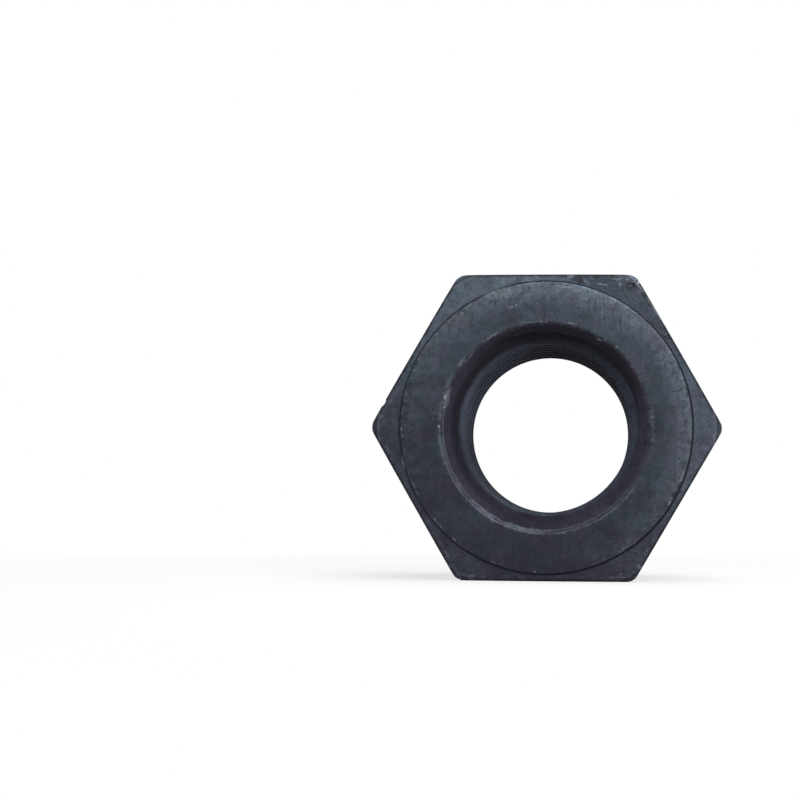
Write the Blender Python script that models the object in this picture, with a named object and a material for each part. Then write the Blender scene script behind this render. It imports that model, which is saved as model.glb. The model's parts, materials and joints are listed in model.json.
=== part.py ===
# A heavy hex nut: nominal 1 inch, 8 threads to the inch, right hand, turned washer face.
# It stands on one of its six flats. Its thread axis lies along Y and its washer face looks to -Y.
# Units are metres and +Z is up. The origin is under the nut's middle, on the surface it stands on.

import math

import bmesh
import bpy
from mathutils import Matrix

MM = 0.001
INCH = 25.4 * MM

# Driving dimensions of the hexagon and its two faces
ACROSS_FLATS = 40.1 * MM
HEIGHT = 25.7 * MM
CORNER_WIDTH = 0.58 * MM
CORNER_PROFILE = 0.36
WASHER_FACE_DIAMETER = 38.0 * MM
WASHER_FACE_HEIGHT = 0.95 * MM
WASHER_FLAT_DIAMETER = 32.8 * MM
WASHER_CROWN_ANGLE = math.radians(10.5)
WASHER_RIM_RADIUS = 0.25 * MM
SHOULDER_SLOPE = math.radians(6)
SHOULDER_RADIUS = 1.5 * MM
END_FACE_DIAMETER = 36.5 * MM
END_CHAMFER_ANGLE = math.radians(32)
END_CHAMFER_RADIUS = 3.4 * MM
CORNER_CLEARANCE = 0.1 * MM

# Driving dimensions of the threaded hole
THREAD_DIAMETER = 1.0 * INCH
PITCH = INCH / 8
MINOR_DIAMETER = 22.2 * MM
ROOT_FLAT = PITCH / 8
FLANK_ANGLE = math.radians(30)
MOUTH_DIAMETER = 27.9 * MM
MOUTH_BEVEL_WIDTH = 0.62 * MM
MOUTH_BEVEL_DEPTH = 0.36 * MM
COUNTERSINK_ANGLE = math.radians(45)
RUN_OUT = 2 * PITCH

# Fineness of the round forms
TURNED_STEPS = 96
THREAD_STEPS = 48
ARC_STEPS = 5
CROWN_STEPS = 3
CORNER_STEPS = 4
WELD = 0.001 * MM

BLACK_OXIDE = (0.052, 0.060, 0.074, 1.0)


def removeEverything():
    for item in list(bpy.data.objects):
        bpy.data.objects.remove(item, do_unlink=True)


# The points of a round edge, from one angle to another about its centre
def arc(centreRadius, centreHeight, radius, start, end, steps=ARC_STEPS):
    points = []
    for step in range(steps + 1):
        angle = start + (end - start) * step / steps
        points.append((centreRadius + radius * math.cos(angle), centreHeight + radius * math.sin(angle)))
    return points


def addObject(name, shape):
    bmesh.ops.recalc_face_normals(shape, faces=shape.faces)
    mesh = bpy.data.meshes.new(name)
    shape.to_mesh(mesh)
    shape.free()
    item = bpy.data.objects.new(name, mesh)
    bpy.context.collection.objects.link(item)
    return item


# Turns an open profile of (radius, height) points about the thread axis
def turned(name, profile):
    shape = bmesh.new()
    points = [shape.verts.new((radius, 0, height)) for radius, height in profile]
    lines = [shape.edges.new(pair) for pair in zip(points, points[1:])]
    bmesh.ops.spin(
        shape,
        geom=points + lines,
        cent=(0, 0, 0),
        axis=(0, 0, 1),
        angle=math.tau,
        steps=TURNED_STEPS,
    )
    bmesh.ops.remove_doubles(shape, verts=shape.verts, dist=WELD)
    # Half a step round, so that no facet's edge runs into a corner of the hexagon or a step of the thread
    halfStep = Matrix.Rotation(math.pi / TURNED_STEPS, 3, "Z")
    bmesh.ops.rotate(shape, verts=shape.verts, cent=(0, 0, 0), matrix=halfStep)
    return addObject(name, shape)


# The hexagonal bar, with a flat up and a flat down and its six long corners rounded
def hexBar():
    shape = bmesh.new()
    cornerToCorner = ACROSS_FLATS / math.cos(math.radians(30))
    bmesh.ops.create_cone(
        shape,
        cap_ends=True,
        segments=6,
        radius1=cornerToCorner / 2,
        radius2=cornerToCorner / 2,
        depth=HEIGHT + RUN_OUT,
        matrix=Matrix.Rotation(math.radians(30), 4, "Z"),
    )
    longEdges = [edge for edge in shape.edges if abs(edge.verts[0].co.z - edge.verts[1].co.z) > HEIGHT]
    bmesh.ops.bevel(
        shape,
        geom=longEdges,
        offset=CORNER_WIDTH,
        offset_type="OFFSET",
        segments=CORNER_STEPS,
        profile=CORNER_PROFILE,
        affect="EDGES",
    )
    return addObject("hex_nut", shape)


# What the lathe leaves: chamfered end face below, then the corners, the shoulder and the washer face
def turnedForm():
    top = HEIGHT / 2
    shoulder = top - WASHER_FACE_HEIGHT
    outside = ACROSS_FLATS / 2 / math.cos(math.radians(30)) - CORNER_WIDTH / 4 + CORNER_CLEARANCE
    chamferCentre = outside - END_CHAMFER_RADIUS
    chamferFoot = chamferCentre + END_CHAMFER_RADIUS * math.sin(END_CHAMFER_ANGLE)
    chamferRise = (chamferFoot - END_FACE_DIAMETER / 2) * math.tan(END_CHAMFER_ANGLE)
    chamferHeight = -top + chamferRise + END_CHAMFER_RADIUS * math.cos(END_CHAMFER_ANGLE)
    washerRadius = WASHER_FACE_DIAMETER / 2
    # The shoulder falls away a little from the foot of the washer face to the corners
    shoulderCentre = outside - SHOULDER_RADIUS
    shoulderEnd = shoulderCentre + SHOULDER_RADIUS * math.sin(SHOULDER_SLOPE)
    shoulderHeight = (
        shoulder - (shoulderEnd - washerRadius) * math.tan(SHOULDER_SLOPE) - SHOULDER_RADIUS * math.cos(SHOULDER_SLOPE)
    )
    # The washer face is flat near the hole and rolls over gently towards its rim
    crownStart = WASHER_FLAT_DIAMETER / 2
    rimCentre = washerRadius - WASHER_RIM_RADIUS
    crownEnd = rimCentre + WASHER_RIM_RADIUS * math.sin(WASHER_CROWN_ANGLE)
    crownRadius = (crownEnd - crownStart) / math.sin(WASHER_CROWN_ANGLE)
    rimHeight = (
        top - crownRadius * (1 - math.cos(WASHER_CROWN_ANGLE)) - WASHER_RIM_RADIUS * math.cos(WASHER_CROWN_ANGLE)
    )
    crownEdge = math.pi / 2 - WASHER_CROWN_ANGLE
    profile = [(0, -top), (END_FACE_DIAMETER / 2, -top)]
    profile += arc(chamferCentre, chamferHeight, END_CHAMFER_RADIUS, END_CHAMFER_ANGLE - math.pi / 2, 0)
    profile += arc(shoulderCentre, shoulderHeight, SHOULDER_RADIUS, 0, math.pi / 2 - SHOULDER_SLOPE)
    profile += [(washerRadius, shoulder)]
    profile += arc(rimCentre, rimHeight, WASHER_RIM_RADIUS, 0, crownEdge)
    profile += arc(crownStart, top - crownRadius, crownRadius, crownEdge, math.pi / 2, CROWN_STEPS)[1:]
    profile += [(0, top)]
    return turned("turned_form", profile)


# Both mouths of the hole: a narrow worn bevel, then the countersink down to below the thread's crests
def countersinks():
    top = HEIGHT / 2
    mouth = MOUTH_DIAMETER / 2
    cone = mouth - MOUTH_BEVEL_WIDTH
    waist = MINOR_DIAMETER / 2 - MOUTH_BEVEL_WIDTH
    coneDepth = MOUTH_BEVEL_DEPTH + (cone - waist) / math.tan(COUNTERSINK_ANGLE)
    upper = [
        (waist, top - coneDepth),
        (cone, top - MOUTH_BEVEL_DEPTH),
        (mouth, top),
        (mouth + MOUTH_BEVEL_WIDTH, top + MOUTH_BEVEL_DEPTH),
        (0, top + MOUTH_BEVEL_DEPTH),
    ]
    lower = [(radius, -height) for radius, height in reversed(upper)]
    return turned("countersinks", lower + upper)


# A tap: one pitch of thread swept up its helix, past both faces, its open ends drawn in to the axis
def tap():
    shape = bmesh.new()
    crest = MINOR_DIAMETER / 2
    root = THREAD_DIAMETER / 2
    flank = (root - crest) * math.tan(FLANK_ANGLE)
    turns = math.ceil((HEIGHT + RUN_OUT) / PITCH)
    bottom = -(turns + 1) * PITCH / 2
    profile = [
        (crest, bottom),
        (root, bottom + flank),
        (root, bottom + flank + ROOT_FLAT),
        (crest, bottom + 2 * flank + ROOT_FLAT),
        (crest, bottom + PITCH),
    ]
    points = [shape.verts.new((radius, 0, height)) for radius, height in profile]
    lines = [shape.edges.new(pair) for pair in zip(points, points[1:])]
    bmesh.ops.spin(
        shape,
        geom=points + lines,
        cent=(0, 0, 0),
        axis=(0, 0, 1),
        dvec=(0, 0, PITCH / THREAD_STEPS),
        angle=math.tau * turns,
        steps=THREAD_STEPS * turns,
    )
    bmesh.ops.remove_doubles(shape, verts=shape.verts, dist=WELD)
    for end in (-1, 1):
        rim = [
            edge
            for edge in shape.edges
            if edge.is_boundary and end * (edge.verts[0].co.z + edge.verts[1].co.z) > 0
        ]
        drawn = bmesh.ops.extrude_edge_only(shape, edges=rim)["geom"]
        tip = [piece for piece in drawn if isinstance(piece, bmesh.types.BMVert)]
        bmesh.ops.pointmerge(shape, verts=tip, merge_co=(0, 0, end * (HEIGHT / 2 + 2 * RUN_OUT)))
    return addObject("tap", shape)


def addBoolean(item, tool, operation):
    tool.hide_render = True
    tool.display_type = "WIRE"
    boolean = item.modifiers.new(tool.name, "BOOLEAN")
    boolean.operation = operation
    boolean.solver = "EXACT"
    boolean.object = tool


# Keeps what the modifiers make as the nut's own mesh, and takes the tools away
def finishCuts(item):
    scene = bpy.context.evaluated_depsgraph_get()
    finished = bpy.data.meshes.new_from_object(item.evaluated_get(scene))
    tools = [boolean.object for boolean in item.modifiers]
    item.modifiers.clear()
    item.data = finished
    for tool in tools:
        bpy.data.objects.remove(tool, do_unlink=True)


def blackOxide():
    material = bpy.data.materials.new("black_oxide_steel")
    material.use_nodes = True
    shader = material.node_tree.nodes["Principled BSDF"]
    shader.inputs["Base Color"].default_value = BLACK_OXIDE
    shader.inputs["Metallic"].default_value = 0.7
    shader.inputs["Roughness"].default_value = 0.5
    return material


def hexNut():
    nut = hexBar()
    addBoolean(nut, turnedForm(), "INTERSECT")
    addBoolean(nut, countersinks(), "DIFFERENCE")
    addBoolean(nut, tap(), "DIFFERENCE")
    finishCuts(nut)
    nut.data.shade_smooth()
    nut.data.set_sharp_from_angle(angle=math.radians(24))
    nut.data.materials.clear()
    nut.data.materials.append(blackOxide())
    # The washer face turns to the front, and the flat below comes down to the ground
    nut.rotation_euler = (math.radians(90), 0, 0)
    nut.location = (0, 0, ACROSS_FLATS / 2)
    return nut


removeEverything()
hexNut()
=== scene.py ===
import json
import math

import bmesh
import bpy
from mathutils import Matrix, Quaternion, Vector

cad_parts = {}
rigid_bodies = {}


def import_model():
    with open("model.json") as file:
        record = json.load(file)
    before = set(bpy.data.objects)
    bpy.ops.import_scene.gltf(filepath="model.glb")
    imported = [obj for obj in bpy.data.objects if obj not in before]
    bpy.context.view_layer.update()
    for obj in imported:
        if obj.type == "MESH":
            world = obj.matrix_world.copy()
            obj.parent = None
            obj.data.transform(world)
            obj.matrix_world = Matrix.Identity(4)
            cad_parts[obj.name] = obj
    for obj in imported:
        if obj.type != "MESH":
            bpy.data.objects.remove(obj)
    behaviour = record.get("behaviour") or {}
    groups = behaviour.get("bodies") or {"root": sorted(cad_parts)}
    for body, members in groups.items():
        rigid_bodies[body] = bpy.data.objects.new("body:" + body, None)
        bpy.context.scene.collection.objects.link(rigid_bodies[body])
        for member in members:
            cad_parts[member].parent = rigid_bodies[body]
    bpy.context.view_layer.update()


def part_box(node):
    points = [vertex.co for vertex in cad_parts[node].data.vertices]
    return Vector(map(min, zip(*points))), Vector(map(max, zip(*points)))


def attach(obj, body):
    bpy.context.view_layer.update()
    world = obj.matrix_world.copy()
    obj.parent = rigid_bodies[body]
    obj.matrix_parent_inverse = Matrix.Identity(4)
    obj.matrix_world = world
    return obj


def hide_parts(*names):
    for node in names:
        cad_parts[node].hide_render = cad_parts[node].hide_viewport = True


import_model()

low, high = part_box("hex_nut")
mm = 0.001
acrossFlats = high.z - low.z
height = high.y - low.y
washerFace = low.y            # the turned face that looks at the camera
axisHeight = acrossFlats / 2  # the thread's axis runs along Y at this height
axisPoint = Vector((0, 0, axisHeight))

bpy.ops.object.select_all(action="DESELECT")


# modelling helpers

def startEditing(piece, selecting="VERT"):
    bpy.ops.object.select_all(action="DESELECT")
    piece.select_set(True)
    bpy.context.view_layer.objects.active = piece
    bpy.ops.object.mode_set(mode="EDIT")
    bpy.ops.mesh.select_mode(type=selecting)


def stopEditing():
    bpy.ops.object.mode_set(mode="OBJECT")


def applyPlace():
    bpy.ops.object.transform_apply(location=True, rotation=True, scale=True)


# points of a round edge, in (radius, depth behind the washer face)
def roundEdge(radius, depth, size, start, end, steps):
    points = []
    for step in range(steps + 1):
        angle = math.radians(start + (end - start) * step / steps)
        points.append((radius + size * math.cos(angle), depth + size * math.sin(angle)))
    return points


# evenly spaced points from one profile point towards the next, the first one left out
def straightRun(start, end, steps):
    return [
        tuple(a + (b - a) * step / steps for a, b in zip(start, end))
        for step in range(1, steps + 1)
    ]


# draws a profile point by point by extruding one vertex, and leaves it selected in edit mode
def drawProfile(name, points):
    bpy.ops.mesh.primitive_plane_add(size=mm, location=(0, 0, axisHeight))
    piece = bpy.context.active_object
    piece.name = name
    applyPlace()
    startEditing(piece)
    bpy.ops.mesh.select_all(action="SELECT")
    bpy.ops.mesh.merge(type="CENTER")
    places = [Vector((radius, washerFace + depth, axisHeight)) for radius, depth in points]
    bpy.ops.transform.translate(value=places[0] - axisPoint)
    for before, after in zip(places, places[1:]):
        bpy.ops.mesh.extrude_vertices_move(TRANSFORM_OT_translate={"value": after - before})
    bpy.ops.mesh.select_all(action="SELECT")
    return piece


# turns a profile about the thread's axis, like work in a lathe
def turnProfile(name, points, steps):
    piece = drawProfile(name, points)
    bpy.ops.mesh.spin(steps=steps, angle=math.tau, center=axisPoint, axis=(0, 1, 0))
    bpy.ops.mesh.select_all(action="SELECT")
    bpy.ops.mesh.remove_doubles(threshold=0.002 * mm)
    bpy.ops.transform.rotate(value=math.pi / steps, orient_axis="Y", center_override=axisPoint)
    bpy.ops.mesh.normals_make_consistent(inside=False)
    stopEditing()
    return piece


def cut(piece, tool, operation):
    bpy.ops.object.select_all(action="DESELECT")
    piece.select_set(True)
    bpy.context.view_layer.objects.active = piece
    change = piece.modifiers.new(tool.name, "BOOLEAN")
    change.operation = operation
    change.solver = "EXACT"
    change.object = tool
    bpy.ops.object.modifier_apply(modifier=change.name)
    bpy.data.objects.remove(tool, do_unlink=True)


# the nut's own shape

nut = {
    "cornerWidth": 0.61 * mm,       # worn off each side of the six long corners
    "cornerProfile": 0.36,          # 0.25 is flat, 0.5 is round
    "shoulderRadius": 1.25 * mm,    # their ends at the washer face
    "shoulderSlope": 6,             # degrees, from the washer face's foot out to the corners
    "washerRadius": 19.0 * mm,
    "washerHeight": 0.95 * mm,
    "washerRim": 0.1 * mm,
    "crownStart": 16.4 * mm,        # outside this the washer face rolls over towards its rim
    "crownAngle": 10.5,             # degrees, at the rim
    "endRadius": 18.25 * mm,        # the plain ring at the far end
    "endAngle": 32,                 # degrees, of the far chamfer to that ring
    "endRounding": 3.4 * mm,        # where the chamfer runs out over the corners
    "edgeRounding": 0.13 * mm,      # the curved edges round the flats
    "clearance": 0.1 * mm,
    "steps": 256,
}


def hexBar():
    sharpCorner = acrossFlats / 2 / math.cos(math.radians(30))
    bpy.ops.mesh.primitive_cylinder_add(
        vertices=6,
        radius=sharpCorner,
        depth=height + 6 * mm,
        location=(0, 0, axisHeight),
        rotation=(math.radians(90), math.radians(30), 0),
    )
    bar = bpy.context.active_object
    bar.name = "heavy_nut"
    applyPlace()
    startEditing(bar, "EDGE")
    bpy.ops.mesh.select_all(action="DESELECT")
    shape = bmesh.from_edit_mesh(bar.data)
    for edge in shape.edges:
        edge.select_set(abs(edge.verts[0].co.y - edge.verts[1].co.y) > height)
    bmesh.update_edit_mesh(bar.data)
    bpy.ops.mesh.bevel(
        offset=nut["cornerWidth"],
        offset_type="OFFSET",
        segments=8,
        profile=nut["cornerProfile"],
        affect="EDGES",
    )
    stopEditing()
    return bar


def turnedForm():
    corner = acrossFlats / 2 / math.cos(math.radians(30))
    outside = corner - nut["cornerWidth"] / 4 + nut["clearance"]
    chamferRise = 90 - nut["endAngle"]
    # the washer face, its crown and its rim
    tilt = math.radians(nut["crownAngle"])
    rim = nut["washerRim"]
    rimCentre = nut["washerRadius"] - rim
    crownRadius = (rimCentre + rim * math.sin(tilt) - nut["crownStart"]) / math.sin(tilt)
    rimDepth = crownRadius * (1 - math.cos(tilt)) + rim * math.cos(tilt)
    points = [(0, 0)]
    points += straightRun((0, 0), (nut["crownStart"], 0), 20)
    points += roundEdge(nut["crownStart"], crownRadius, crownRadius, -90, nut["crownAngle"] - 90, 8)[1:]
    points += roundEdge(rimCentre, rimDepth, rim, nut["crownAngle"] - 90, 0, 5)[1:]
    # the sloping shoulder and the rounded ends of the corners
    slope = math.radians(nut["shoulderSlope"])
    foot = (nut["washerRadius"], nut["washerHeight"])
    rounding = nut["shoulderRadius"]
    shoulderEnd = outside - rounding + rounding * math.sin(slope)
    shoulderDepth = foot[1] + (shoulderEnd - foot[0]) * math.tan(slope)
    points += [foot]
    points += straightRun(foot, (shoulderEnd, shoulderDepth), 6)
    centreDepth = shoulderDepth + rounding * math.cos(slope)
    points += roundEdge(outside - rounding, centreDepth, rounding, nut["shoulderSlope"] - 90, 0, 9)[1:]
    bend = nut["endRounding"]
    bendFoot = outside - bend + bend * math.cos(math.radians(chamferRise))
    chamferDepth = (bendFoot - nut["endRadius"]) * math.tan(math.radians(nut["endAngle"]))
    bendDepth = height - chamferDepth - bend * math.sin(math.radians(chamferRise))
    points += roundEdge(outside - bend, bendDepth, bend, 0, chamferRise, 10)
    points += straightRun(points[-1], (nut["endRadius"], height), 4)
    points += straightRun((nut["endRadius"], height), (0, height), 20)
    return turnProfile("turned_form", points, nut["steps"])


# the hole

hole = {
    "rootRadius": 12.7 * mm,
    "crestRadius": 11.1 * mm,
    "pitch": 3.175 * mm,
    "burr": 0.08 * mm,              # the crests' edges are broken a little
    "mouthRadius": 13.95 * mm,
    "bevelWidth": 0.62 * mm,        # the narrow worn bevel round each mouth
    "bevelAngle": 30,               # degrees to the face
    "lipRadius": 1.1 * mm,          # its soft outer edge
    "ridgeRadius": 0.3 * mm,        # and its inner edge, at the cone
    "coneAngle": 45,                # degrees to the thread's axis
    "threadSteps": 144,
}


# points of the arc that rounds the corner between two straight runs, given by their angles to the face
def roundCorner(radius, depth, size, before, after, steps):
    reach = size * math.tan(math.radians(after - before) / 2)
    startRadius = radius + reach * math.cos(math.radians(before))
    startDepth = depth - reach * math.sin(math.radians(before))
    centreRadius = startRadius + size * math.sin(math.radians(before))
    centreDepth = startDepth + size * math.cos(math.radians(before))
    return roundEdge(centreRadius, centreDepth, size, -90 - before, -90 - after, steps)


def countersinkTool():
    mouth = hole["mouthRadius"]
    bevelDepth = hole["bevelWidth"] * math.tan(math.radians(hole["bevelAngle"]))
    cone = mouth - hole["bevelWidth"]
    waist = hole["crestRadius"] - hole["bevelWidth"]
    coneDepth = bevelDepth + (cone - waist) / math.tan(math.radians(hole["coneAngle"]))
    near = [(0, -mm), (mouth + mm, -mm), (mouth + mm, -0.01 * mm)]
    near += roundCorner(mouth, 0, hole["lipRadius"], 0, hole["bevelAngle"], 6)
    coneSlope = 90 - hole["coneAngle"]
    near += roundCorner(cone, bevelDepth, hole["ridgeRadius"], hole["bevelAngle"], coneSlope, 4)
    near += straightRun(near[-1], (waist, coneDepth), 4)
    far = [(radius, height - depth) for radius, depth in reversed(near)]
    return turnProfile("countersinks", near + far, nut["steps"])


def tapTool():
    crest = hole["crestRadius"]
    root = hole["rootRadius"]
    pitch = hole["pitch"]
    flank = (root - crest) * math.tan(math.radians(30))
    rootFlat = pitch / 8
    burr = hole["burr"]
    # in step with the CAD's thread; the screw operator sweeps towards the washer face
    start = 6 * pitch - 2 * flank - rootFlat - washerFace
    points = [(crest, start), (crest + burr, start + burr)]
    points += straightRun(points[-1], (root, start + flank), 3)
    points += [(root, start + flank + rootFlat)]
    points += straightRun(points[-1], (crest + burr, start + 2 * flank + rootFlat - burr), 3)
    points += [(crest, start + 2 * flank + rootFlat), (crest, start + pitch)]
    turns = math.ceil(height / pitch) + 3
    piece = drawProfile("tap", points)
    bpy.ops.mesh.screw(steps=hole["threadSteps"], turns=turns, center=axisPoint, axis=(0, -1, 0))
    bpy.ops.mesh.select_all(action="SELECT")
    bpy.ops.mesh.remove_doubles(threshold=0.002 * mm)
    # each open end is drawn in to a point outside the nut
    bpy.ops.mesh.select_mode(type="EDGE")
    for end in (-1, 1):
        bpy.ops.mesh.select_all(action="DESELECT")
        shape = bmesh.from_edit_mesh(piece.data)
        for edge in shape.edges:
            edge.select_set(edge.is_boundary and (edge.verts[0].co.y * end) > 0)
        bmesh.update_edit_mesh(piece.data)
        bpy.ops.mesh.extrude_edges_move(TRANSFORM_OT_translate={"value": (0, end * pitch, 0)})
        bpy.ops.mesh.merge(type="CENTER")
    bpy.ops.mesh.select_all(action="SELECT")
    bpy.ops.mesh.normals_make_consistent(inside=False)
    stopEditing()
    return piece


# selects the faces of the six flats, or of one of them
def selectFlats(piece, wanted=range(6)):
    bpy.ops.mesh.select_all(action="DESELECT")
    bpy.ops.mesh.select_mode(type="FACE")
    shape = bmesh.from_edit_mesh(piece.data)
    for flat in wanted:
        angle = math.radians(90 + 60 * flat)
        outward = Vector((math.cos(angle), 0, math.sin(angle)))
        for side in shape.faces:
            if side.normal.dot(outward) > 0.99999:
                side.select_set((side.calc_center_median() - axisPoint).dot(outward) > 0.49 * acrossFlats)
    bmesh.update_edit_mesh(piece.data)


# rounds the curved edges where the chamfers and the shoulder meet the flats
def softenEdges(piece):
    startEditing(piece, "EDGE")
    bpy.ops.mesh.select_all(action="DESELECT")
    shape = bmesh.from_edit_mesh(piece.data)
    for edge in shape.edges:
        if len(edge.link_faces) != 2 or edge.calc_face_angle(0) < math.radians(12):
            continue
        if abs(edge.verts[0].co.y - edge.verts[1].co.y) > 0.98 * edge.calc_length():
            continue
        middle = (edge.verts[0].co + edge.verts[1].co) / 2 - axisPoint
        outside = Vector((middle.x, 0, middle.z)).length > 0.49 * acrossFlats
        edge.select_set(outside)
    bmesh.update_edit_mesh(piece.data)
    bpy.ops.mesh.bevel(
        offset=nut["edgeRounding"], segments=2, profile=0.5, affect="EDGES", clamp_overlap=True
    )
    stopEditing()


# the forging's marks: places on the nut are in millimetres

marks = {
    "spacing": 0.8 * mm,
    "waveDepth": 0.1 * mm,
    "waveSize": 5.5 * mm,
    # x and rise from the thread's axis, depth behind the washer face, and half sizes along x, y and z
    "nicks": [
        (17.60, -7.55, 0.25, (0.50, 0.50, 0.60)),    # bite in the washer face's rim, lower right
        (16.80, -8.75, 0.20, (0.35, 0.40, 0.40)),    # and its lower end
        (15.20, 11.95, 0.35, (0.30, 0.35, 0.30)),    # two nicks in the rim, upper right
        (16.15, 10.70, 0.30, (0.38, 0.30, 0.45)),
        (11.00, 18.70, 0.85, (0.85, 0.55, 0.50)),    # dent by the upper right corner
        (-21.45, 3.55, 1.25, (0.42, 0.80, 0.75)),    # nick in the upper left flat's edge
        (3.30, 20.45, 1.15, (0.60, 0.55, 0.35)),     # notch in the top edge
        (10.10, -19.60, 1.00, (0.40, 0.30, 0.25)),   # by the lower right corner
        (11.70, 20.10, 9.70, (0.32, 0.55, 0.32)),    # along the upper right corner
        (23.05, 0.10, 21.90, (0.35, 0.80, 0.40)),    # at the far end of the right corner
        (19.45, 7.50, 1.30, (0.25, 0.35, 0.40)),     # on the upper right flat's front edge
        (20.85, 4.00, 2.95, (0.22, 0.40, 0.22)),     # and a little behind it
        (-11.60, 20.20, 6.50, (0.30, 0.45, 0.30)),   # a few on the sides that neither view shows
        (-23.05, -0.20, 15.00, (0.35, 0.60, 0.35)),
        (-11.30, -20.00, 2.20, (0.40, 0.50, 0.30)),
        (11.80, -20.10, 18.30, (0.30, 0.55, 0.30)),
        (-3.50, 20.35, 23.40, (0.55, 0.40, 0.35)),
        (-16.20, 9.35, 25.75, (0.40, 0.25, 0.50)),
    ],
    # the seam on the upper right flat, in two parts: behind the washer face, and above the flat's middle
    "seams": [
        [(1.7, 3.85), (2.6, 3.70), (4.1, 3.38), (5.6, 3.10), (6.6, 2.90), (7.9, 2.36), (9.8, 1.80)],
        [
            (13.8, 1.30), (15.4, 0.86), (17.3, 0.73), (18.9, 0.25),
            (19.8, -0.22), (21.5, -0.63), (23.6, -0.60),
        ],
    ],
    "seamWidth": 0.085 * mm,        # from its middle to its side
    "seamDepth": 0.03 * mm,         # of its middle
}


# slices the flats into small squares, which the forging's waves then move
def sliceFlats(piece):
    spacing = marks["spacing"]
    startEditing(piece)
    count = int(height / spacing)
    for pair in range(3):
        angle = math.radians(90 + 60 * pair)
        along = Vector((-math.sin(angle), 0, math.cos(angle)))
        halfWidth = acrossFlats / 2 * math.tan(math.radians(30))
        for step in range(1, int(2 * halfWidth / spacing)):
            selectFlats(piece, (pair, pair + 3))
            bpy.ops.mesh.bisect(
                plane_co=axisPoint + along * (step * spacing - halfWidth), plane_no=along
            )
    for step in range(1, count):
        selectFlats(piece)
        bpy.ops.mesh.bisect(
            plane_co=(0, washerFace + step * spacing, 0), plane_no=(0, 1, 0)
        )
    stopEditing()


# low waves in the flats, as a forging has, only ever inwards
def addWaves(piece):
    startEditing(piece, "FACE")
    selectFlats(piece)
    flats = piece.vertex_groups.new(name="flats")
    bpy.ops.object.vertex_group_assign()
    stopEditing()
    waves = bpy.data.textures.new("waves", "CLOUDS")
    waves.noise_scale = marks["waveSize"]
    waves.noise_depth = 2
    change = piece.modifiers.new("waves", "DISPLACE")
    change.texture = waves
    change.texture_coords = "LOCAL"
    change.vertex_group = flats.name
    change.mid_level = 1
    change.strength = marks["waveDepth"]
    bpy.context.view_layer.objects.active = piece
    bpy.ops.object.modifier_apply(modifier=change.name)
    piece.vertex_groups.clear()


# small uneven knobs that stand where the nicks are, to be cut out
def nickTool():
    knobs = []
    for seed, (x, rise, depth, sizes) in enumerate(marks["nicks"]):
        place = (x * mm, washerFace + depth * mm, axisHeight + rise * mm)
        bpy.ops.mesh.primitive_ico_sphere_add(subdivisions=3, radius=mm, location=place, scale=sizes)
        knob = bpy.context.active_object
        applyPlace()
        startEditing(knob)
        bpy.ops.mesh.select_all(action="SELECT")
        bpy.ops.transform.vertex_random(offset=0.035 * mm, seed=seed)
        stopEditing()
        knobs.append(knob)
    for knob in knobs:
        knob.select_set(True)
    bpy.ops.object.join()
    return bpy.context.active_object


# a thin wire along each part of the seam, half sunk in the flat
def seamTool():
    outward = Vector((math.cos(math.radians(30)), 0, math.sin(math.radians(30))))
    along = Vector((-outward.z, 0, outward.x))
    bpy.ops.curve.primitive_nurbs_path_add(location=(0, 0, 0))
    wire = bpy.context.active_object
    wire.name = "seam"
    line = wire.data
    line.dimensions = "3D"
    line.splines.clear()
    for places in marks["seams"]:
        route = line.splines.new("POLY")
        route.points.add(len(places) - 1)
        for number, (depth, rise) in enumerate(places):
            spot = axisPoint + outward * (acrossFlats / 2 - marks["seamDepth"]) + along * rise * mm
            route.points[number].co = (spot.x, washerFace + depth * mm, spot.z, 1)
            route.points[number].radius = 1 - 0.25 * (number % 3)
    line.bevel_depth = marks["seamWidth"]
    line.bevel_resolution = 2
    line.use_fill_caps = True
    bpy.ops.object.convert(target="MESH")
    return wire


def makeNut():
    nutBody = hexBar()
    cut(nutBody, turnedForm(), "INTERSECT")
    softenEdges(nutBody)
    print("nut body:", len(nutBody.data.polygons), "faces")
    cut(nutBody, countersinkTool(), "DIFFERENCE")
    cut(nutBody, tapTool(), "DIFFERENCE")
    print("hole and thread cut:", len(nutBody.data.polygons), "faces")
    sliceFlats(nutBody)
    addWaves(nutBody)
    cut(nutBody, nickTool(), "DIFFERENCE")
    cut(nutBody, seamTool(), "DIFFERENCE")
    print("forging's marks made:", len(nutBody.data.polygons), "faces")
    bpy.ops.object.select_all(action="DESELECT")
    nutBody.select_set(True)
    bpy.context.view_layer.objects.active = nutBody
    bpy.ops.object.shade_smooth_by_angle(angle=math.radians(25))
    return nutBody


heavyNut = makeNut()
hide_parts("hex_nut")
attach(heavyNut, "root")


# shader boards

# one output of a node, with the sums that are done on it
class Wire:
    def __init__(self, board, socket):
        self.board = board
        self.socket = socket

    def work(self, operation, first, second=0.0):
        return self.board.add("ShaderNodeMath", {"operation": operation}, {0: first, 1: second})

    def __add__(self, other):
        return self.work("ADD", self, other)

    def __radd__(self, other):
        return self.work("ADD", other, self)

    def __sub__(self, other):
        return self.work("SUBTRACT", self, other)

    def __rsub__(self, other):
        return self.work("SUBTRACT", other, self)

    def __mul__(self, other):
        return self.work("MULTIPLY", self, other)

    def __rmul__(self, other):
        return self.work("MULTIPLY", other, self)

    def __truediv__(self, other):
        return self.work("DIVIDE", self, other)

    def __pow__(self, other):
        return self.work("POWER", self, other)

    def __abs__(self):
        return self.work("ABSOLUTE", self)

    def atMost(self, other):
        return self.work("MINIMUM", self, other)

    def atLeast(self, other):
        return self.work("MAXIMUM", self, other)


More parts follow.
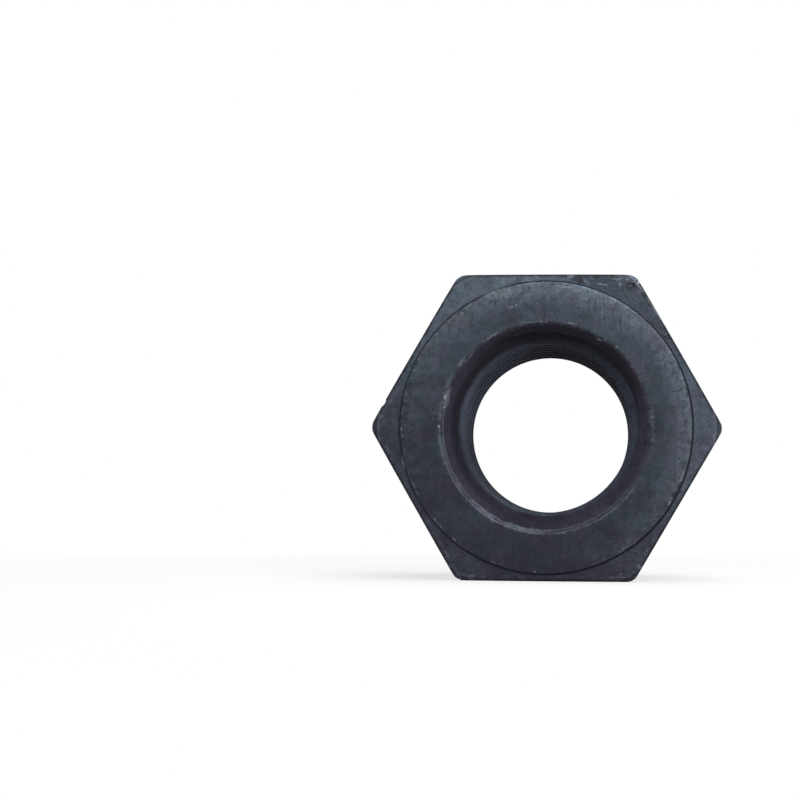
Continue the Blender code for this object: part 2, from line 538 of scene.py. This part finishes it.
# the nodes of one material or of the world
class Board:
    def __init__(self, owner):
        owner.use_nodes = True
        self.tree = owner.node_tree
        self.tree.nodes.clear()

    def add(self, kind, settings=None, inputs=None, output=0):
        node = self.tree.nodes.new(kind)
        for name, value in (settings or {}).items():
            setattr(node, name, value)
        for name, value in (inputs or {}).items():
            if isinstance(value, Wire):
                self.tree.links.new(value.socket, node.inputs[name])
            else:
                node.inputs[name].default_value = value
        return Wire(self, node.outputs[output]) if node.outputs else None

    def blend(self, factor, first, second, way="MIX"):
        settings = {"data_type": "RGBA", "blend_type": way, "clamp_factor": True}
        return self.add("ShaderNodeMix", settings, {0: factor, 6: first, 7: second}, output=2)

    # the three parts of a vector, and a vector from three parts
    def parts(self, vector):
        split = self.add("ShaderNodeSeparateXYZ", None, {0: vector})
        return [Wire(self, socket) for socket in split.socket.node.outputs]

    def gather(self, x, y, z):
        return self.add("ShaderNodeCombineXYZ", None, {0: x, 1: y, 2: z})

    def grey(self, value):
        return self.add("ShaderNodeCombineColor", None, {0: value, 1: value, 2: value})

    # 0 below low, 1 above high, smooth between; low may be the greater
    def ramp(self, value, low, high):
        settings = {"interpolation_type": "SMOOTHSTEP"}
        return self.add("ShaderNodeMapRange", settings, {0: value, 1: low, 2: high, 3: 0.0, 4: 1.0})


# a screen colour, 0 to 255, as Blender's linear one
def colour(red, green, blue):
    return tuple(((part / 255 + 0.055) / 1.055) ** 2.4 for part in (red, green, blue)) + (1,)


# the black oxide

oxide = {
    "upper": colour(84, 92, 104),     # on the upper side, partly painted light
    "lower": colour(58, 59, 70),      # browner and darker, low down, partly painted shade
    "cool": (0.93, 1.05, 1.02, 1),    # the hue wanders between these two
    "warm": (1.05, 0.97, 1.0, 1),
    "blotch": colour(51, 49, 57),
    "cone": colour(51, 49, 59),       # in the countersinks
    "rust": colour(68, 52, 56),       # a trace of it at their edges
    "thread": colour(74, 80, 94),
    # dark colour for soot, pits and the seam, and also for painted shade in the hole, at the washer face's
    # foot and along the edges
    "sootAndShade": colour(34, 32, 38),
    "worn": colour(120, 127, 137),    # where the oxide is rubbed thin, and for painted highlights at the mouth, the long corners and the rim
    "bare": colour(176, 180, 186),    # where it is knocked off
    "metallic": 0.8,
    "gleamTint": (0.45, 0.45, 0.45, 1),
    "bumpStrength": 0.5,
    "bumpDepth": 0.07 * mm,
}

# marks on the washer face and its shoulder: x, rise from the axis, half length, half width, slope
faceMarks = {
    "worn": [
        (-5.9, 17.6, 2.6, 0.85, 15), (-11.0, 14.8, 0.35, 0.15, 60), (-4.6, 15.6, 0.5, 0.2, 20),
        (2.0, 18.3, 1.9, 0.14, -3), (3.2, 19.7, 0.5, 0.3, 0), (7.4, 18.75, 0.9, 0.13, -8),
        (5.2, 19.05, 0.5, 0.15, -35), (9.6, 18.75, 0.25, 0.15, 60), (12.1, 18.4, 1.0, 0.08, -50),
        (-5.6, 19.05, 0.8, 0.12, 8), (-2.3, 19.25, 1.3, 0.12, 5), (-20.25, 3.45, 0.35, 0.2, 30),
        (16.4, 12.4, 0.7, 0.15, -35), (9.9, -19.0, 0.25, 0.15, 60), (-18.7, -4.5, 0.9, 0.13, -75),
        (3.3, 13.5, 0.55, 0.17, -12), (-1.0, 13.75, 1.7, 0.08, 4), (-7.1, 11.8, 1.0, 0.09, 33),
        (-9.8, 9.3, 0.5, 0.1, 47), (7.0, 11.4, 0.4, 0.12, -28), (-12.9, 3.8, 1.6, 0.4, 78),
        (8.4, -11.0, 1.7, 0.12, 37), (10.9, -8.6, 1.3, 0.1, 51),
    ],
    "bare": [
        (-6.96, 17.6, 0.25, 0.07, 70), (-4.85, 17.9, 0.2, 0.07, 60), (-3.9, 15.9, 0.14, 0.06, 20),
        (-13.1, 3.9, 0.3, 0.1, 80), (-13.2, 2.6, 0.2, 0.09, 90), (-13.9, 0.1, 0.2, 0.1, 90),
        (-10.9, 14.9, 0.15, 0.07, 40),
    ],
    "dark": [
        (11.2, 18.5, 0.95, 0.7, -35), (12.0, 19.3, 1.0, 0.4, -52), (12.9, 17.0, 1.4, 0.25, -62),
        (4.0, 19.4, 1.1, 0.25, -22), (8.7, 19.15, 0.7, 0.25, 0), (15.4, 11.8, 0.5, 0.2, -50),
        (17.25, -8.1, 1.1, 0.3, 56), (-18.6, -3.0, 0.3, 0.2, 0), (18.1, 3.5, 0.25, 0.15, 0),
        (17.0, 4.8, 0.8, 0.15, 0),
    ],
}

# and on the upper right flat: behind the washer face, above the flat's middle, and the same sizes
flatMarks = {
    "worn": [
        (2.6, 10.9, 1.4, 0.12, 20), (15.0, 10.9, 7.5, 0.13, 0), (12.0, -10.95, 4.0, 0.15, 0),
        (22.1, -10.4, 0.7, 0.35, 60), (1.1, 6.5, 0.09, 3.0, 0),
    ],
    "bare": [
        (2.0, 10.85, 0.95, 0.09, 36), (9.7, 11.1, 0.4, 0.09, 60), (1.1, 8.6, 0.08, 1.0, 4),
        (1.05, 6.1, 0.07, 1.2, -3), (1.45, -3.4, 0.4, 0.07, 62), (2.9, -6.9, 0.12, 0.1, 0),
        (22.1, -10.8, 0.5, 0.15, 40), (1.1, -10.3, 0.2, 0.12, 0),
    ],
    "dark": [
        (21.3, 3.3, 2.2, 0.6, -16), (13.2, 9.75, 1.3, 0.42, 0), (10.4, 10.35, 0.9, 0.25, 0),
        (17.7, -4.3, 0.5, 0.42, 0), (12.55, -4.3, 0.25, 0.45, 0), (15.9, -4.3, 0.2, 0.18, 0),
        (3.2, -4.65, 1.5, 0.4, 0), (7.0, -6.3, 1.6, 1.2, 20), (1.8, 1.7, 0.4, 0.8, 0),
        (19.5, 9.7, 0.9, 0.3, 0), (17.5, 6.8, 2.6, 1.6, -35), (3.5, 8.0, 1.6, 0.9, 0),
    ],
}


# the places that the patterns are made from, in millimetres from the thread's axis and the washer face
def nutPlaces(board):
    place = board.add("ShaderNodeTexCoord", output=3)
    start = (0, -washerFace / mm, -axisHeight / mm)
    inputs = {"Vector": place, "Location": start, "Scale": (1 / mm, 1 / mm, 1 / mm)}
    place = board.add("ShaderNodeMapping", {"vector_type": "POINT"}, inputs)
    across, depth, rise = board.parts(place)
    at = {"place": place, "across": across, "depth": depth, "rise": rise}
    at["radius"] = (across * across + rise * rise) ** 0.5
    half = math.cos(math.radians(30))
    reaches = [abs(rise), abs(across * half + rise * 0.5), abs(across * half - rise * 0.5)]
    widest = reaches[0].atLeast(reaches[1]).atLeast(reaches[2])
    narrowest = reaches[0].atMost(reaches[1]).atMost(reaches[2])
    second = reaches[0] + reaches[1] + reaches[2] - widest - narrowest
    flatAt = acrossFlats / 2 / mm
    at["inFlat"] = flatAt - widest                       # below the nearest flat
    at["toCorner"] = (flatAt - second) / half            # along a flat, to its nearest long corner
    at["alongFlat"] = rise * half - across * 0.5         # up the upper right flat, from its middle
    at["upperRight"] = board.ramp(across * half + rise * 0.5, flatAt - 1.2, flatAt - 0.9)
    return at


# distance to the nearest of some marks, where 1 is a mark's edge; the place's third part is 1, so that one
# dot product gives the distance along a mark and another the distance across it
def nearestMark(board, place, marks):
    nearest = None
    for x, y, length, width, slope in marks:
        level, steep = math.cos(math.radians(slope)), math.sin(math.radians(slope))
        along = (level / length, steep / length, -(level * x + steep * y) / length)
        aside = (-steep / width, level / width, (steep * x - level * y) / width)
        along, aside = (
            board.add("ShaderNodeVectorMath", {"operation": "DOT_PRODUCT"}, {0: place, 1: line}, output=1)
            for line in (along, aside)
        )
        reach = along * along + aside * aside
        nearest = nearest.atMost(reach) if nearest else reach
    return nearest ** 0.5


# the seam's stain, as a chain of long marks
def seamMarks():
    chain = []
    for places in marks["seams"]:
        for (depth, rise), (nextDepth, nextRise) in zip(places, places[1:]):
            length = math.hypot(nextDepth - depth, nextRise - rise)
            slope = math.degrees(math.atan2(nextRise - rise, nextDepth - depth))
            chain.append(((depth + nextDepth) / 2, (rise + nextRise) / 2, length * 0.62, 0.3, slope))
    return chain


def oxideMaterial():
    material = bpy.data.materials.new("black_oxide_steel")
    board = Board(material)
    at = nutPlaces(board)
    place, across, depth = at["place"], at["across"], at["depth"]
    rise, radius = at["rise"], at["radius"]

    def noise(size, detail=3.0, roughness=0.5, shift=0.0, stretch=(1, 1, 1)):
        moved = {"Vector": place, "Location": (shift, -shift, 2 * shift), "Scale": stretch}
        spot = board.add("ShaderNodeMapping", None, moved)
        inputs = {"Vector": spot, "Scale": 1 / size, "Detail": detail, "Roughness": roughness}
        return board.add("ShaderNodeTexNoise", None, inputs)

    drift = noise(13, 2.0, 0.5, 3.0)
    hue = noise(3.2, 2.0, 0.6, 61.0)
    cloud = noise(3.0, 4.0, 0.62, 11.0)
    blotch = noise(2.2, 4.0, 0.68, 27.0)
    mottle = noise(1.0, 3.0, 0.7, 17.0)
    speckle = noise(0.45, 2.0, 0.7, 5.0)
    grain = noise(0.17, 1.0, 0.5, 9.0)
    upright = noise(0.34, 2.0, 0.6, 41.0, (1, 1, 0.08))
    lengthwise = noise(0.3, 2.0, 0.6, 47.0, (1, 0.09, 1))

    # where the marks are, and the same for the stains, whose outlines are ragged
    alongFlat = at["alongFlat"]
    onFace = board.gather(across, rise, 1.0)
    onFlat = board.gather(depth, alongFlat, 1.0)
    strayOne = (mottle - 0.5) * 2.4
    strayTwo = (blotch - 0.5) * 2.4
    roughFace = board.gather(across + strayOne, rise + strayTwo, 1.0)
    roughFlat = board.gather(depth + strayOne, alongFlat + strayTwo, 1.0)

    # where things are
    frontSide = board.ramp(depth, 1.6, 1.2)
    behind = board.ramp(depth, 0.9, 1.3)
    markedFlat = at["upperRight"] * behind * board.ramp(at["inFlat"], 0.35, 0.15)
    washer = board.ramp(depth, 0.7, 0.5) * board.ramp(radius, 13.9, 14.3)
    ragged = (speckle - 0.5) * 0.6 + (mottle - 0.5) * 0.8
    lipLift = board.ramp(rise + across * 0.3, -7, 3)
    inside = board.ramp(radius + ragged - lipLift * 0.2, lipLift * 0.55 + 13.45, 13.2 - lipLift * 0.1)
    flats = board.ramp(at["inFlat"], 0.45, 0.2) * board.ramp(depth, 1.0, 1.5)
    toEnd = height / mm - (radius - nut["endRadius"] / mm) * math.tan(math.radians(nut["endAngle"])) - depth

    # blue-grey above, brown and dark below, in clouds whose hue wanders: the steady lightening upwards and
    # to the right is painted light and shade, the clouds are the oxide's own uneven tone
    toneAndPaintedLight = rise / 20 + across / 90 + (drift - 0.5) * 1.8 + (cloud - 0.5) * 1.9
    skin = board.blend(board.ramp(toneAndPaintedLight, -1.0, 1.0), oxide["lower"], oxide["upper"])
    shoulder = board.ramp(radius, 19.2, 19.4) * frontSide
    wander = (board.ramp(hue, 0.4, 0.6) - 0.5) * (1 - flats * 0.65 - shoulder * 0.55) + 0.5
    tint = board.blend(wander, oxide["cool"], oxide["warm"])
    skin = board.blend(1.0, skin, tint, "MULTIPLY")
    # painted light and shade: the shoulder is paler all round and most of all at the upper left, and darker
    # at the upper right corner and on the right; the washer face is darker on its right and in an inner
    # ring towards the upper right. The mask of the upper right corner on the next line also holds back the
    # rubbed face, the rim line and the tips' line there
    upperRightShade = board.ramp(across * 0.7 + rise, 18, 24)
    innerRing = washer * board.ramp(radius, 17.2, 15.0) * board.ramp(rise + across, -12, 4)
    paintedLightAndShade = 1 + shoulder * (0.35 + board.ramp(rise - across, 18, 26) * 0.14 - upperRightShade * 0.72)
    paintedLightAndShade = paintedLightAndShade - shoulder * board.ramp(across, 16, 20) * 0.2 - innerRing * 0.14
    paintedLightAndShade = paintedLightAndShade - washer * board.ramp(across, 7, 15) * 0.1
    skin = board.blend(1.0, skin, board.grey(paintedLightAndShade), "MULTIPLY")
    dapple = board.ramp(blotch + (speckle - 0.5) * 0.3, 0.5, 0.7)
    skin = board.blend(dapple * (flats * 0.15 + 0.35), skin, oxide["blotch"])

    # the washer face is lighter towards its rim, most of all at the top: partly rubbed oxide, partly a
    # painted highlight on the side that faces the light
    upward = board.ramp(rise + across * 0.5 + (cloud - 0.5) * 24, -16, 14)
    rubbedAndLit = washer * board.ramp(radius, 15.4, 19.0) * upward
    skin = board.blend(rubbedAndLit * board.ramp(mottle, 0.3, 0.6) * (0.42 - upperRightShade * 0.3), skin, oxide["worn"])

    # the hole: dark countersinks, a trace of rust at their edges, and the thread
    threaded = board.ramp(abs(depth - height / mm / 2), 10.9, 10.2)
    bore = board.blend(threaded, oxide["cone"], oxide["thread"])
    # painted shade: the upper part of the hole, whose walls face down, blends towards the dark colour
    shaded = board.ramp(rise - abs(across) * 0.35, -4, 9)
    deeper = board.ramp(depth, 0.9, 1.6)
    bore = board.blend(shaded * (threaded * 0.1 + deeper * 0.2 + 0.3), bore, oxide["sootAndShade"])
    # painted light and shade in the hole: paler at the lower right and the left, darker at the upper right
    lowRight = board.ramp(across * 1.3 - rise * 0.7, 8, 18)
    highLeft = board.ramp(rise * 0.8 - across, 8, 15)
    boreLightAndShade = 1 + lowRight * (1.3 - threaded * 1.1) + highLeft * threaded * 1.1
    boreLightAndShade = boreLightAndShade + board.ramp(across, -4, -12) * (1 - deeper) * 0.8
    upperRightBoreShade = board.ramp(across * 1.2 + rise * 2, 13, 22) * deeper
    boreLightAndShade = boreLightAndShade * (1 - upperRightBoreShade * (0.4 - threaded * 0.25))
    bore = board.blend(1.0, bore, board.grey(boreLightAndShade), "MULTIPLY")
    bore = board.blend(dapple * 0.35, bore, oxide["sootAndShade"])
    edgeRust = board.ramp(radius, 12.9, 13.4) * board.ramp(blotch, 0.46, 0.6) * board.ramp(rise, -2, 6)
    bore = board.blend(edgeRust * 0.4, bore, oxide["rust"])
    skin = board.blend(inside, skin, bore)

    # painted shade with some dirt in the corner at the washer face's foot, where its step shades it, and
    # painted shade in a dark line just inside the flats' edges, at the corners' tips and along the flats'
    # long corners, where the rounded edges turn from the light
    foot = board.ramp(radius, 19.32, 19.2) * board.ramp(radius, 18.93, 19.0) * board.ramp(depth, 0.35, 0.6)
    skin = board.blend(foot * frontSide * (0.9 - board.ramp(across, -9, -16) * 0.45), skin, oxide["sootAndShade"])
    outlineShade = board.ramp(at["inFlat"] + (mottle - 0.5) * 0.5, 0.42, 0.1) * board.ramp(depth, 0.9, 1.0)
    skin = board.blend(outlineShade * frontSide * 0.7, skin, oxide["sootAndShade"])
    tipShade = board.ramp(radius + (mottle - 0.5) * 0.5, 22.15, 22.3) * frontSide
    skin = board.blend(tipShade * 0.55, skin, oxide["sootAndShade"])
    cornerShade = board.ramp(at["toCorner"] + (mottle - 0.5) * 0.3, 0.58, 0.42) * flats
    skin = board.blend(cornerShade * 0.55, skin, oxide["sootAndShade"])

    # worn lines, broken up by the speckles; some of them are painted highlights
    broken = (speckle - 0.5) * 1.5 + (cloud - 0.5) * 1.8

    def wornLine(distance, halfWidth, amount, start=1.2, end=0.3):
        return board.ramp(abs(distance) / halfWidth - broken, start, end) * amount

    flecked = board.ramp(mottle + (speckle - 0.5) * 0.5, 0.48, 0.62)
    # partly wear, partly painted highlight: the rim's line is stronger at the upper left and held back at
    # the upper right corner
    rimShare = board.ramp(cloud, 0.46, 0.58) * (0.65 - upperRightShade * 0.5)
    rimShare = rimShare + board.ramp(rise - across, 12, 22) * 0.35
    rim = wornLine(radius - 18.8, 0.14, washer * flecked * rimShare)
    # partly wear, partly painted highlight: the lines round the mouth stand only on its lower side, which
    # faces the light
    low = board.ramp(rise + across * 0.35, 3, -6)
    low = low * (0.34 - board.ramp(rise + across * 0.5, -6, -12) * 0.12) * frontSide
    ridge = wornLine(radius - 13.4, 0.16, low)
    lip = wornLine(radius - 13.8, 0.2, low * 0.9)
    scarce = board.ramp(blotch, 0.5, 0.6)
    lipFlecks = board.ramp(abs(radius - 13.9) / 0.3 - broken, 0.9, 0.4) * frontSide * flecked * scarce * 0.5
    edge = wornLine(toEnd - 0.1, 0.16, flats * 0.6)
    # painted highlight: a thin light line along the flats' long corners
    corner = wornLine(at["toCorner"] - 0.72, 0.12, flats * 0.4)
    highUp = board.ramp(rise, -16, -8) * 0.65 + 0.35
    tipLine = wornLine(radius - 22.0, 0.14, frontSide * (0.55 - upperRightShade * 0.4) * highUp)
    frontEdge = wornLine(at["inFlat"] - 0.62, 0.16, frontSide * behind * flecked * 0.55)
    worn = rim.atLeast(ridge).atLeast(lip).atLeast(lipFlecks).atLeast(edge).atLeast(corner)
    worn = worn.atLeast(tipLine).atLeast(frontEdge)
    nearest = nearestMark(board, onFace, faceMarks["worn"])
    worn = worn.atLeast(board.ramp(nearest - broken, 1.2, 0.5) * frontSide * 0.6)
    nearest = nearestMark(board, onFlat, flatMarks["worn"])
    worn = worn.atLeast(board.ramp(nearest - broken, 1.2, 0.5) * markedFlat * 0.6)
    skin = board.blend(worn, skin, oxide["worn"])

    # dark stains, and bare steel where a corner is knocked
    stain = board.ramp(nearestMark(board, roughFace, faceMarks["dark"]), 1.3, 0.5) * frontSide * 0.75
    flatStain = board.ramp(nearestMark(board, roughFlat, flatMarks["dark"]), 1.6, 0.6)
    spotted = board.ramp(mottle + (speckle - 0.5) * 0.7, 0.42, 0.52)
    stain = stain.atLeast(flatStain * spotted * markedFlat * 0.95)
    skin = board.blend(stain, skin, oxide["blotch"])
    seam = board.ramp(nearestMark(board, onFlat, seamMarks()) - broken * 0.8, 1.9, 0.2) * markedFlat
    skin = board.blend(seam * 0.7, skin, oxide["sootAndShade"])
    # painted shade: the upper right flat darker towards its lower end
    skin = board.blend(board.ramp(alongFlat, 2, -12) * markedFlat * 0.35, skin, oxide["lower"])
    bare = board.ramp(nearestMark(board, onFace, faceMarks["bare"]) - broken * 0.5, 1.2, 0.7) * frontSide
    flatBare = board.ramp(nearestMark(board, onFlat, flatMarks["bare"]) - broken * 0.5, 1.2, 0.7)
    bare = bare.atLeast(flatBare * markedFlat)
    glints = board.ramp(speckle + (grain - 0.5) * 0.6 + worn * 0.12, 0.79, 0.85)
    bare = bare.atLeast(glints * 0.5)
    skin = board.blend(bare * 0.8, skin, oxide["bare"])
    pits = board.ramp(speckle + (grain - 0.5) * 0.4, 0.36, 0.26)
    skin = board.blend(pits * 0.5, skin, oxide["sootAndShade"])

    # fine texture: grinding lines up the face, drawing lines along the flats, mottling and grain
    combed = board.ramp(nearestMark(board, onFace, [(8.6, 15.6, 5.5, 2.6, -32)]), 1.3, 0.5)
    lines = (upright - 0.5) * (washer * combed * 1.3 + 0.25) + (lengthwise - 0.5) * flats * 0.5
    shade = 1 + lines + (mottle - 0.5) * 0.9 + (speckle - 0.5) * 0.45 + (grain - 0.5) * 0.35
    skin = board.blend(1.0, skin, board.grey(shade), "MULTIPLY")

    rough = 0.58 - board.ramp(cloud, 0.35, 0.7) * 0.1 + (mottle - 0.5) * 0.3 - worn * 0.1
    rough = rough + inside * (0.1 + shaded * 0.1)
    bumps = grain * 0.25 + speckle * 0.9 + mottle * 1.6 - pits * 0.6
    relief = {"Height": bumps, "Strength": oxide["bumpStrength"], "Distance": oxide["bumpDepth"]}
    normal = board.add("ShaderNodeBump", None, relief)
    shader = board.add(
        "ShaderNodeBsdfPrincipled",
        None,
        {
            "Base Color": skin,
            "Metallic": oxide["metallic"],
            "Roughness": rough,
            "Normal": normal,
            "Specular Tint": oxide["gleamTint"],
        },
    )
    board.add("ShaderNodeOutputMaterial", None, {"Surface": shader})
    return material


heavyNut.data.materials.clear()
heavyNut.data.materials.append(oxideMaterial())
print("black oxide finished")


# camera, floor and light

camera = {
    "lens": 71.1,
    "sensor": 36,
    "picture": 800,                # pixels, both ways
    "side": 7.2 * mm,              # from the thread's axis, to the right
    "eye": 9.4 * mm,               # above the floor
    "distance": 205 * mm,          # to the washer face
    "nutAt": (544.9, 426.9),       # the nut's middle in the photograph, in pixels
    "shift": (-0.12, 0.10),        # the photograph looks squarely at the nut, though it stands off centre
    "roll": 0.4,                   # degrees, as the photograph leans
}


def addCamera():
    data = bpy.data.cameras.new("camera")
    data.lens = camera["lens"]
    data.sensor_width = camera["sensor"]
    data.shift_x, data.shift_y = camera["shift"]
    data.clip_start = 0.01
    data.clip_end = 20
    item = bpy.data.objects.new("camera", data)
    bpy.context.collection.objects.link(item)
    item.location = (camera["side"], washerFace - camera["distance"], camera["eye"])
    item.rotation_mode = "QUATERNION"
    # turned and tilted until the nut's middle is where the photograph has it
    picture = camera["picture"]
    focal = camera["lens"] / camera["sensor"] * picture
    aimX = camera["nutAt"][0] - picture / 2 + picture * data.shift_x
    aimY = camera["nutAt"][1] - picture / 2 - picture * data.shift_y
    toNut = Vector((0, washerFace, axisHeight)) - item.location
    turn = tilt = 0.0
    for attempt in range(40):
        ahead = Vector((-math.sin(turn) * math.cos(tilt), math.cos(turn) * math.cos(tilt), math.sin(tilt)))
        right = ahead.cross(Vector((0, 0, 1))).normalized()
        up = right.cross(ahead)
        away = toNut.dot(ahead)
        turn += (aimX - focal * toNut.dot(right) / away) / focal
        tilt += (aimY + focal * toNut.dot(up) / away) / focal
    lean = Quaternion((0, 0, 1), math.radians(camera["roll"]))
    item.rotation_quaternion = ahead.to_track_quat("-Z", "Y") @ lean
    bpy.context.scene.camera = item


studio = {
    "floorSize": 12,
    "floorTone": (0.8, 0.8, 0.8, 1),
    "floorGlow": 0.72,             # share of plain white that the camera sees in the floor near the nut
    "glowStart": 0.05,             # from here outwards the floor fades to plain white
    "glowEnd": 0.14,
    "floorGleam": 0.25,            # share of plain white that the steel sees in it
    "front": 0.2,                  # the room behind the camera, against 1 behind the nut
    "fill": 0.35,
    # where each lamp stands, its size and its power
    "lamps": {
        "top_lamp": ((0.06, 0.02, 0.40), (0.35, 0.35), 1.3),
        "near_lamp": ((0.05, -0.10, 0.12), (0.08, 0.08), 0.11),
    },
}


# how much of each kind of ray this is: camera, and glossy or transmission
def rays(board):
    path = board.add("ShaderNodeLightPath").socket.node
    kinds = {socket.name: Wire(board, socket) for socket in path.outputs}
    return kinds["Is Camera Ray"], kinds["Is Glossy Ray"].atLeast(kinds["Is Transmission Ray"])


def addFloor():
    bpy.ops.mesh.primitive_plane_add(size=studio["floorSize"], location=(0, 0, 0))
    floor = bpy.context.active_object
    floor.name = "floor"
    material = bpy.data.materials.new("pale_floor")
    board = Board(material)
    seen, gleam = rays(board)
    place = board.add("ShaderNodeTexCoord", output=3)
    away = board.add("ShaderNodeVectorMath", {"operation": "LENGTH"}, {0: place}, output=1)
    fade = board.ramp(away, studio["glowStart"], studio["glowEnd"])
    glow = fade * (1 - studio["floorGlow"]) + studio["floorGlow"]
    lit = board.add("ShaderNodeBsdfDiffuse", None, {"Color": studio["floorTone"]})
    white = board.add("ShaderNodeEmission", None, {"Color": (1, 1, 1, 1), "Strength": 1.0})
    share = seen * glow + gleam * studio["floorGleam"]
    mixed = board.add("ShaderNodeMixShader", None, {0: share, 1: lit, 2: white})
    board.add("ShaderNodeOutputMaterial", None, {"Surface": mixed})
    floor.data.materials.append(material)


def addWorld():
    world = bpy.data.worlds.new("studio")
    bpy.context.scene.world = world
    board = Board(world)
    seen, gleam = rays(board)
    direction = board.add("ShaderNodeTexCoord", output=0)
    split = board.add("ShaderNodeSeparateXYZ", None, {0: direction}, output=1)
    behind = board.ramp(split, -0.3, 0.3) * (1 - studio["front"]) + studio["front"]
    strength = seen + (1 - seen) * (gleam * behind + (1 - gleam) * studio["fill"])
    background = board.add("ShaderNodeBackground", None, {"Color": (1, 1, 1, 1), "Strength": strength})
    board.add("ShaderNodeOutputWorld", None, {"Surface": background})


def addLamp(name, place, size, power):
    data = bpy.data.lights.new(name, "AREA")
    data.shape = "RECTANGLE"
    data.size, data.size_y = size
    data.energy = power
    item = bpy.data.objects.new(name, data)
    bpy.context.collection.objects.link(item)
    item.location = place
    item.rotation_mode = "QUATERNION"
    item.rotation_quaternion = (axisPoint - Vector(place)).to_track_quat("-Z", "Y")


addCamera()
addFloor()
addWorld()
for lampName, (place, size, power) in studio["lamps"].items():
    addLamp(lampName, place, size, power)
print("camera, floor and lamps placed")

bpy.context.scene.view_settings.view_transform = "Standard"
